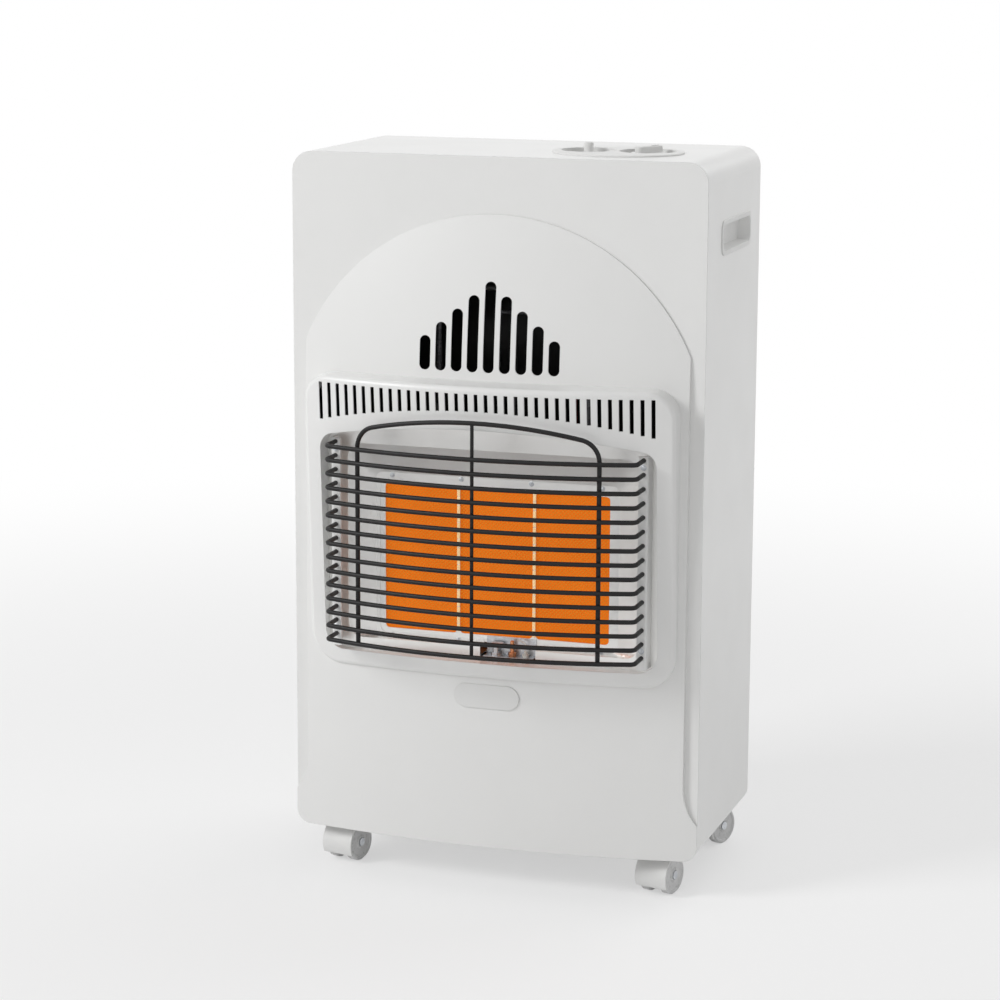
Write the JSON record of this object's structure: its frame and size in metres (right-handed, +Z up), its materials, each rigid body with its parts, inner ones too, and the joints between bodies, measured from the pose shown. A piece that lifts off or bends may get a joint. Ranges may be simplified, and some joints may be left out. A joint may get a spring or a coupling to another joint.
{
  "type": "portable gas cabinet heater",
  "caption": "Upright sheet-steel gas heater on castors: bowed front with a wire guard before glowing ceramic plaques, top controls, side hand-holds, lift-off rear cover.",
  "frame": {"origin": "on the floor under the middle of the overall box", "axes": "+X to the right seen from the front, +Y from the front panel to the rear cover, +Z up"},
  "size_m": [0.42, 0.3, 0.73],
  "materials": {
    "white_enamel": "smooth white powder coat, semi-gloss",
    "black_wire": "black enamel, semi-gloss",
    "bright_steel": "bright rolled sheet",
    "zinc_steel": "zinc plated",
    "aluminised_steel": "dull aluminised sheet",
    "glowing_ceramic": "matt perforated tile, glowing orange",
    "brass": "machined",
    "copper": "drawn copper",
    "white_plastic": "fine satin",
    "grey_plastic": "satin",
    "white_ceramic": "glazed",
    "lead_sleeve": "silicone sleeve"
  },
  "bodies": {
    "cabinet": {"front_panel": "white_enamel", "cabinet_shell": "white_enamel", "base_pan": "white_enamel", "handle_cup_left": "white_plastic", "handle_cup_right": "white_plastic", "badge_plate": "white_plastic", "fire_surround": "white_enamel", "guard_grille": "black_wire", "guard_rails": "white_enamel", "reflector": "bright_steel", "burner_frame": "bright_steel", "heat_shield": "aluminised_steel", "injector_rail": "zinc_steel", "injectors": "brass", "pilot_bracket": "zinc_steel", "pilot_burner": "zinc_steel", "thermocouple": "copper", "spark_electrode": "white_ceramic", "control_bezel": "white_plastic", "igniter_body": "grey_plastic", "igniter_nut": "grey_plastic", "valve_bracket": "zinc_steel", "gas_valve": "brass", "valve_nut": "brass", "inlet_hose_tail": "brass", "burner_pipes": "zinc_steel", "pilot_pipe": "zinc_steel", "thermocouple_lead": "copper", "ignition_lead": "lead_sleeve", "castor_stems": "zinc_steel", "castor_nuts": "zinc_steel", "plaque_left": "glowing_ceramic", "burner_body_left": "aluminised_steel", "plaque_middle": "glowing_ceramic", "burner_body_middle": "aluminised_steel", "plaque_right": "glowing_ceramic", "burner_body_right": "aluminised_steel"},
    "rear_cover": {"rear_cover": "white_enamel"},
    "igniter_button": {"igniter_button": "white_plastic"},
    "valve_plunger": {"valve_plunger": "brass"},
    "control_knob": {"valve_spindle": "brass", "control_knob": "white_plastic"},
    "castor_front_left": {"castor_fork_front_left": "white_plastic", "castor_axle_front_left": "zinc_steel"},
    "wheel_inner_front_left": {"castor_wheel_inner_front_left": "grey_plastic"},
    "wheel_outer_front_left": {"castor_wheel_outer_front_left": "grey_plastic"},
    "castor_front_right": {"castor_fork_front_right": "white_plastic", "castor_axle_front_right": "zinc_steel"},
    "wheel_inner_front_right": {"castor_wheel_inner_front_right": "grey_plastic"},
    "wheel_outer_front_right": {"castor_wheel_outer_front_right": "grey_plastic"},
    "castor_rear_left": {"castor_fork_rear_left": "white_plastic", "castor_axle_rear_left": "zinc_steel"},
    "wheel_inner_rear_left": {"castor_wheel_inner_rear_left": "grey_plastic"},
    "wheel_outer_rear_left": {"castor_wheel_outer_rear_left": "grey_plastic"},
    "castor_rear_right": {"castor_fork_rear_right": "white_plastic", "castor_axle_rear_right": "zinc_steel"},
    "wheel_inner_rear_right": {"castor_wheel_inner_rear_right": "grey_plastic"},
    "wheel_outer_rear_right": {"castor_wheel_outer_rear_right": "grey_plastic"}
  },
  "joints": [
    {"name": "rear_cover_lift", "type": "slide", "parent": "cabinet", "child": "rear_cover", "axis": [0, 0, 1], "range_m": [0, 0.01]},
    {"name": "igniter_press", "type": "slide", "parent": "cabinet", "child": "igniter_button", "axis": [0, 0, -1], "range_m": [0, 0.005], "stiffness_N_per_m": 1200, "springref_m": -0.0015},
    {"name": "knob_press", "type": "slide", "parent": "cabinet", "child": "valve_plunger", "axis": [0, 0, -1], "range_m": [0, 0.004], "stiffness_N_per_m": 1500, "springref_m": -0.001},
    {"name": "knob_turn", "type": "hinge", "parent": "valve_plunger", "child": "control_knob", "pos_m": [0.124, 0.024, 0.722], "axis": [0, 0, 1], "range_deg": [0, 240]},
    {"name": "castor_front_left_swivel", "type": "hinge", "parent": "cabinet", "child": "castor_front_left", "pos_m": [-0.165, -0.058, 0.041], "axis": [0, 0, 1], "continuous": true},
    {"name": "wheel_inner_front_left_roll", "type": "hinge", "parent": "castor_front_left", "child": "wheel_inner_front_left", "pos_m": [-0.16306, -0.05024, 0.019], "axis": [0.9703, -0.2419, 0], "continuous": true},
    {"name": "wheel_outer_front_left_roll", "type": "hinge", "parent": "castor_front_left", "child": "wheel_outer_front_left", "pos_m": [-0.16306, -0.05024, 0.019], "axis": [0.9703, -0.2419, 0], "continuous": true},
    {"name": "castor_front_right_swivel", "type": "hinge", "parent": "cabinet", "child": "castor_front_right", "pos_m": [0.165, -0.058, 0.041], "axis": [0, 0, 1], "continuous": true},
    {"name": "wheel_inner_front_right_roll", "type": "hinge", "parent": "castor_front_right", "child": "wheel_inner_front_right", "pos_m": [0.16694, -0.05024, 0.019], "axis": [0.9703, -0.2419, 0], "continuous": true},
    {"name": "wheel_outer_front_right_roll", "type": "hinge", "parent": "castor_front_right", "child": "wheel_outer_front_right", "pos_m": [0.16694, -0.05024, 0.019], "axis": [0.9703, -0.2419, 0], "continuous": true},
    {"name": "castor_rear_left_swivel", "type": "hinge", "parent": "cabinet", "child": "castor_rear_left", "pos_m": [-0.172, 0.117, 0.041], "axis": [0, 0, 1], "continuous": true},
    {"name": "wheel_inner_rear_left_roll", "type": "hinge", "parent": "castor_rear_left", "child": "wheel_inner_rear_left", "pos_m": [-0.17474, 0.12452, 0.019], "axis": [0.9397, 0.342, 0], "continuous": true},
    {"name": "wheel_outer_rear_left_roll", "type": "hinge", "parent": "castor_rear_left", "child": "wheel_outer_rear_left", "pos_m": [-0.17474, 0.12452, 0.019], "axis": [0.9397, 0.342, 0], "continuous": true},
    {"name": "castor_rear_right_swivel", "type": "hinge", "parent": "cabinet", "child": "castor_rear_right", "pos_m": [0.172, 0.117, 0.041], "axis": [0, 0, 1], "continuous": true},
    {"name": "wheel_inner_rear_right_roll", "type": "hinge", "parent": "castor_rear_right", "child": "wheel_inner_rear_right", "pos_m": [0.17525, 0.12431, 0.019], "axis": [0.9135, -0.4067, 0], "continuous": true},
    {"name": "wheel_outer_rear_right_roll", "type": "hinge", "parent": "castor_rear_right", "child": "wheel_outer_rear_right", "pos_m": [0.17525, 0.12431, 0.019], "axis": [0.9135, -0.4067, 0], "continuous": true}
  ]
}
